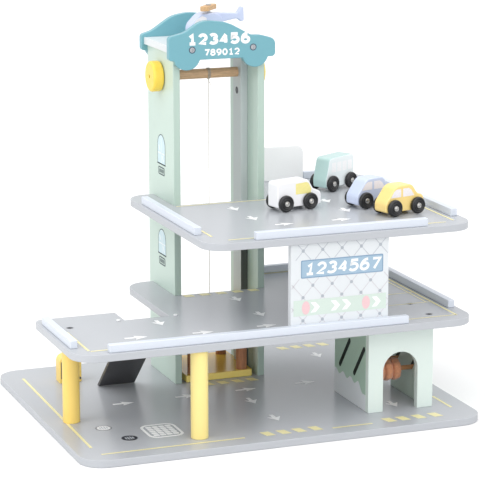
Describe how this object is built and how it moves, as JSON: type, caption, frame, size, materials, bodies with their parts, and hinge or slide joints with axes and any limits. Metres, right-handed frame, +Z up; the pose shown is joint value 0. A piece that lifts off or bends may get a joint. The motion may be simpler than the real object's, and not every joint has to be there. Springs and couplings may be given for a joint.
{
  "type": "toy parking garage",
  "caption": "Wooden toy parking garage: three decks, string lift in a tower with a winch, hinged ramp, wash tunnel with felt rollers, toy cars and a helicopter.",
  "frame": {"origin": "centre of the base board's underside", "axes": "+Z up, +X to the right, +Y towards the back, away from the car wash's doorway"},
  "size_m": [0.51, 0.405, 0.4886],
  "materials": {
    "deck_paint": "painted board, satin",
    "rail_paint": "painted wood, satin",
    "white_paint": "painted board, satin",
    "yellow_paint": "painted wood, satin",
    "mint_paint": "painted board, satin",
    "strip_paint": "painted wood, satin",
    "teal_paint": "painted board, satin",
    "natural_wood": "oiled",
    "lift_paint": "painted board, satin",
    "black_paint": "painted board, satin",
    "steel": "zinc plated",
    "white_plastic": "moulded",
    "string": "twisted cotton",
    "felt": "felt",
    "wheel_black": "black wood wheels on steel axles",
    "van_white": "painted wood, satin",
    "bus_mint": "painted wood, satin",
    "lavender": "painted wood, satin",
    "car_yellow": "painted wood, satin"
  },
  "bodies": {
    "garage": {"base_board": "deck_paint", "mid_deck": "deck_paint", "upper_deck": "deck_paint", "mid_front_rail": "rail_paint", "mid_left_rail": "rail_paint", "mid_right_rail": "rail_paint", "mid_rear_rail": "rail_paint", "upper_front_rail": "rail_paint", "upper_left_rail": "rail_paint", "upper_right_rail": "rail_paint", "upper_rear_rail": "rail_paint", "upper_rear_wall": "white_paint", "sign_panel": "white_paint", "left_column": "yellow_paint", "front_column": "yellow_paint", "tower_left_panel": "mint_paint", "tower_right_panel": "mint_paint", "left_guide_strip": "strip_paint", "right_guide_strip": "strip_paint", "tower_roof_board": "strip_paint", "front_roof_sign": "teal_paint", "rear_roof_sign": "teal_paint", "wash_front_arch": "mint_paint", "wash_left_wall": "mint_paint", "wash_right_wall": "mint_paint", "petrol_pump": "yellow_paint", "ramp_pin": "steel", "ramp_pin_caps": "white_plastic", "board_screws": "steel", "tower_screws": "steel", "lift_string": "string"},
    "winch": {"winch_dowel": "natural_wood", "left_winch_knob": "yellow_paint", "right_winch_knob": "yellow_paint", "winch_screws": "steel", "string_winding": "string"},
    "lift": {"lift_floor": "lift_paint", "lift_posts": "natural_wood", "lift_roof": "lift_paint", "lift_string_knot": "string"},
    "ramp": {"ramp_board": "black_paint"},
    "front_roller": {"front_wash_dowel": "natural_wood"},
    "front_brush": {"front_wash_brush": "felt"},
    "rear_roller": {"rear_wash_dowel": "natural_wood"},
    "rear_brush": {"rear_wash_brush": "felt"},
    "white_van": {"white_van_body": "van_white"},
    "white_van_front_axle": {"white_van_front_wheels": "wheel_black"},
    "white_van_rear_axle": {"white_van_rear_wheels": "wheel_black"},
    "mint_bus": {"mint_bus_body": "bus_mint"},
    "mint_bus_front_axle": {"mint_bus_front_wheels": "wheel_black"},
    "mint_bus_rear_axle": {"mint_bus_rear_wheels": "wheel_black"},
    "lavender_car": {"lavender_car_body": "lavender"},
    "lavender_car_front_axle": {"lavender_car_front_wheels": "wheel_black"},
    "lavender_car_rear_axle": {"lavender_car_rear_wheels": "wheel_black"},
    "yellow_car": {"yellow_car_body": "car_yellow"},
    "yellow_car_front_axle": {"yellow_car_front_wheels": "wheel_black"},
    "yellow_car_rear_axle": {"yellow_car_rear_wheels": "wheel_black"},
    "helicopter": {"helicopter_body": "lavender", "helicopter_rotor_pin": "steel"},
    "rotor": {"helicopter_rotor": "natural_wood"}
  },
  "joints": [
    {"name": "lift_rise", "type": "slide", "parent": "garage", "child": "lift", "axis": [0, 0, 1], "range_m": [0, 0.2246], "deforming": ["lift_string"]},
    {"name": "winch_turn", "type": "hinge", "parent": "garage", "child": "winch", "pos_m": [0.00735, 0.11395, 0.4007], "axis": [-1, 0, 0], "range_deg": [0, 1879]},
    {"name": "ramp_swing", "type": "hinge", "parent": "garage", "child": "ramp", "pos_m": [-0.1245, -0.027, 0.1217], "axis": [1, 0, 0], "range_deg": [0, 90]},
    {"name": "front_roller_rise", "type": "slide", "parent": "garage", "child": "front_roller", "axis": [0, -0.6157, 0.788], "range_m": [0, 0.031]},
    {"name": "front_brush_spin", "type": "hinge", "parent": "front_roller", "child": "front_brush", "pos_m": [0.16775, -0.0985, 0.0495], "axis": [1, 0, 0], "continuous": true},
    {"name": "rear_roller_rise", "type": "slide", "parent": "garage", "child": "rear_roller", "axis": [0, -0.6157, 0.788], "range_m": [0, 0.047]},
    {"name": "rear_brush_spin", "type": "hinge", "parent": "rear_roller", "child": "rear_brush", "pos_m": [0.16775, -0.054, 0.0495], "axis": [1, 0, 0], "continuous": true},
    {"name": "white_van_lift_off", "type": "slide", "parent": "garage", "child": "white_van", "axis": [0, 0, 1], "range_m": [0, 0.08]},
    {"name": "white_van_front_wheels_roll", "type": "hinge", "parent": "white_van", "child": "white_van_front_axle", "pos_m": [0.09487, -0.00436, 0.2536], "axis": [-0.1908, 0.9816, 0], "continuous": true},
    {"name": "white_van_rear_wheels_roll", "type": "hinge", "parent": "white_van", "child": "white_van_rear_axle", "pos_m": [0.05953, -0.01124, 0.2536], "axis": [-0.1908, 0.9816, 0], "continuous": true},
    {"name": "mint_bus_lift_off", "type": "slide", "parent": "garage", "child": "mint_bus", "axis": [0, 0, 1], "range_m": [0, 0.08]},
    {"name": "mint_bus_front_wheels_roll", "type": "hinge", "parent": "mint_bus", "child": "mint_bus_front_axle", "pos_m": [0.1611, 0.08634, 0.2536], "axis": [0.4478, -0.8942, 0], "continuous": true},
    {"name": "mint_bus_rear_wheels_roll", "type": "hinge", "parent": "mint_bus", "child": "mint_bus_rear_axle", "pos_m": [0.19329, 0.10246, 0.2536], "axis": [0.4478, -0.8942, 0], "continuous": true},
    {"name": "lavender_car_lift_off", "type": "slide", "parent": "garage", "child": "lavender_car", "axis": [0, 0, 1], "range_m": [0, 0.08]},
    {"name": "lavender_car_front_wheels_roll", "type": "hinge", "parent": "lavender_car", "child": "lavender_car_front_axle", "pos_m": [0.19433, -0.01962, 0.2536], "axis": [-0.2487, 0.9686, 0], "continuous": true},
    {"name": "lavender_car_rear_wheels_roll", "type": "hinge", "parent": "lavender_car", "child": "lavender_car_rear_axle", "pos_m": [0.15947, -0.02858, 0.2536], "axis": [-0.2487, 0.9686, 0], "continuous": true},
    {"name": "yellow_car_lift_off", "type": "slide", "parent": "garage", "child": "yellow_car", "axis": [0, 0, 1], "range_m": [0, 0.08]},
    {"name": "yellow_car_front_wheels_roll", "type": "hinge", "parent": "yellow_car", "child": "yellow_car_front_axle", "pos_m": [0.20773, -0.07652, 0.2536], "axis": [-0.2487, 0.9686, 0], "continuous": true},
    {"name": "yellow_car_rear_wheels_roll", "type": "hinge", "parent": "yellow_car", "child": "yellow_car_rear_axle", "pos_m": [0.17287, -0.08548, 0.2536], "axis": [-0.2487, 0.9686, 0], "continuous": true},
    {"name": "helicopter_lift_off", "type": "slide", "parent": "garage", "child": "helicopter", "axis": [0, 0, 1], "range_m": [0, 0.08]},
    {"name": "rotor_spin", "type": "hinge", "parent": "helicopter", "child": "rotor", "pos_m": [0.0114, 0.11395, 0.4844], "axis": [0, 0, 1], "continuous": true}
  ],
  "couplings": [
    {"joint": "winch_turn", "follows": "lift_rise", "rad_per_m": 145.99}
  ]
}
